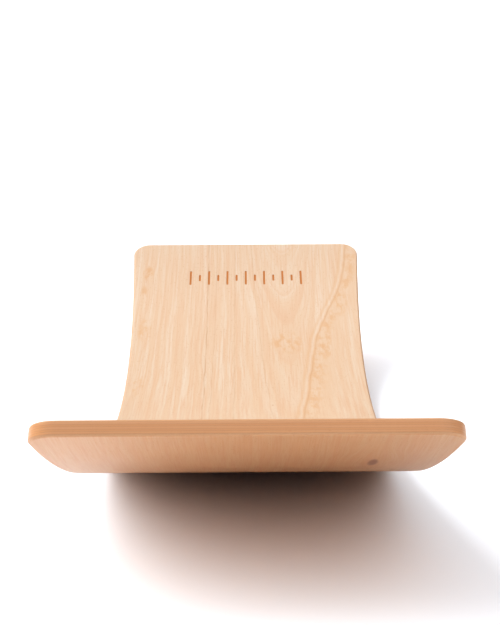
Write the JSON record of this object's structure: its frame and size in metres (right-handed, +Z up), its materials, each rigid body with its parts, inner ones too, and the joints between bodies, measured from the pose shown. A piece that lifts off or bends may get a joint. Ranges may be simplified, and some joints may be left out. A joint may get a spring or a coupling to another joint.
{
  "type": "curved balance board",
  "caption": "Curved wooden balance board: a slightly waisted plywood shell bent up at both ends, which rocks end to end on its curved underside.",
  "frame": {"origin": "middle of the contact line on the floor, under the middle of the board", "axes": "+Z up, Y along the board with the engraved strokes near the +Y end, X across the board"},
  "size_m": [0.2996, 0.8904, 0.1357],
  "materials": {
    "beech_face": "satin clear lacquer",
    "beech_long": "satin clear lacquer",
    "beech_cross": "satin clear lacquer",
    "glue": "cured resin glue"
  },
  "bodies": {
    "root": {"face_veneer_underside": "beech_face", "cross_veneer_lower": "beech_cross", "long_veneer_lower": "beech_long", "cross_veneer_middle": "beech_cross", "long_veneer_upper": "beech_long", "cross_veneer_upper": "beech_cross", "face_veneer_top": "beech_face", "glue_line_1": "glue", "glue_line_2": "glue", "glue_line_3": "glue", "glue_line_4": "glue", "glue_line_5": "glue", "glue_line_6": "glue"}
  },
  "joints": []
}
